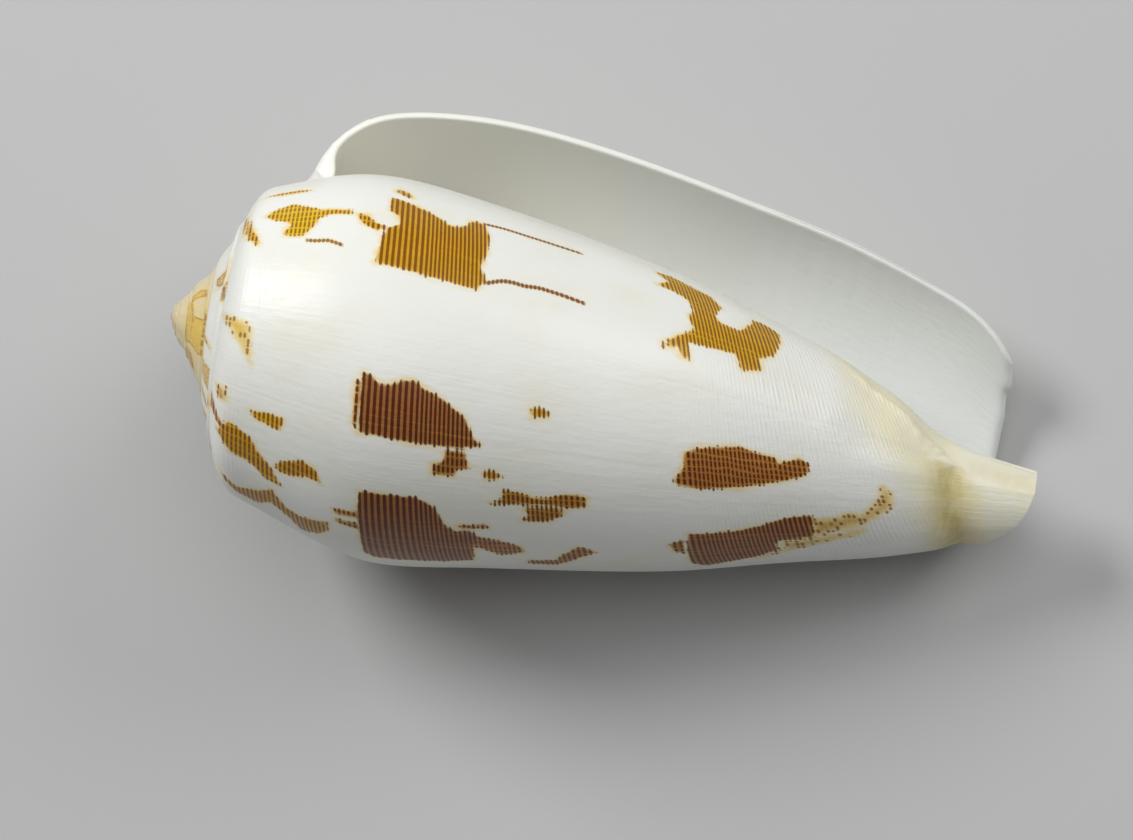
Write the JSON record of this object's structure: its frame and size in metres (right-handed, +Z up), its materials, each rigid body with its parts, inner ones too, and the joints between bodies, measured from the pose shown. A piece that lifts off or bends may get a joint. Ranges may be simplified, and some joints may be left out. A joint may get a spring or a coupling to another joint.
{
  "type": "cone shell",
  "caption": "Sea snail's cone shell lying on its back: low pointed spire, tapering last whorl, flared thin lip round a long open aperture, scooped front tip.",
  "frame": {"origin": "on the surface it rests on, under the middle of its box", "axes": "+X from the spire's point to the front tip, +Y towards the flared lip, +Z up, out of the open aperture side"},
  "size_m": [0.0905, 0.0482, 0.0421],
  "materials": {
    "shell": "glossy white natural shell with brown and ochre blotches of fine spiral lines, cream at the front end, satin inside the lip"
  },
  "bodies": {
    "root": {"shell": "shell"}
  },
  "joints": []
}
